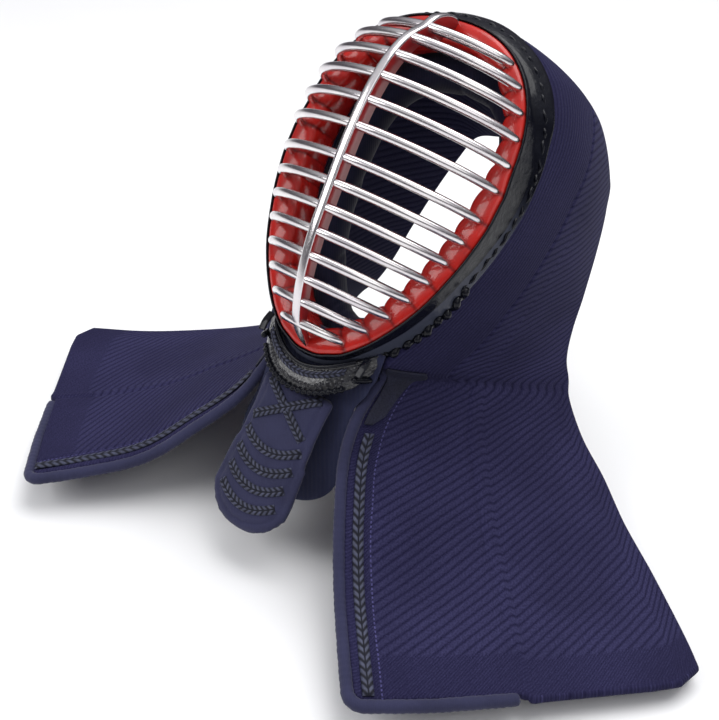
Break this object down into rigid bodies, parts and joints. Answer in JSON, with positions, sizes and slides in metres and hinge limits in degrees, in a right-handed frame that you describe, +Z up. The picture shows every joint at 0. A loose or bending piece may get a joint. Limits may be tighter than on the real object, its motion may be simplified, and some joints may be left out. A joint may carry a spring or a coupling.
{
  "type": "kendo men helmet",
  "caption": "Kendo helmet: arched steel face grille on a red and black lacquered ring, padded hood with stiff shoulder wings, chin guard and hanging throat flaps.",
  "frame": {"origin": "the head seat: the middle of the hollow that the wearer's face pad surrounds, on the wearer's middle plane", "axes": "+X to the wearer's left, -Y to the front, +Z up; the face ring leans back 37 degrees as the helmet is shown"},
  "size_m": [0.6442, 0.4709, 0.3758],
  "materials": {
    "steel": "polished round steel bars",
    "red_lacquer": "glossy red lacquer over rawhide",
    "black_lacquer": "glossy black lacquer over rawhide",
    "quilted_cotton": "indigo cotton, stuffed",
    "black_leather": "black leather, embossed and lacquered",
    "indigo_cotton": "plain indigo cotton, padded",
    "braid": "flat plaited silk braid"
  },
  "bodies": {
    "root": {"face_grille": "steel", "red_rim": "red_lacquer", "black_rim": "black_lacquer", "face_pad": "quilted_cotton", "quilted_hood": "quilted_cotton", "chin_guard": "black_leather", "throat_flap": "indigo_cotton", "inner_throat_flap": "quilted_cotton", "flap_cross_braid": "braid", "flap_braid_1": "braid", "flap_braid_2": "braid", "flap_braid_3": "braid", "flap_braid_4": "braid", "wing_binding_left": "indigo_cotton", "wing_braid_left": "braid", "hood_patch_left": "black_leather", "chin_tie_left": "black_lacquer", "chin_strap_left": "black_lacquer", "wing_binding_right": "indigo_cotton", "wing_braid_right": "braid", "hood_patch_right": "black_leather", "chin_tie_right": "black_lacquer", "chin_strap_right": "black_lacquer"}
  },
  "joints": []
}
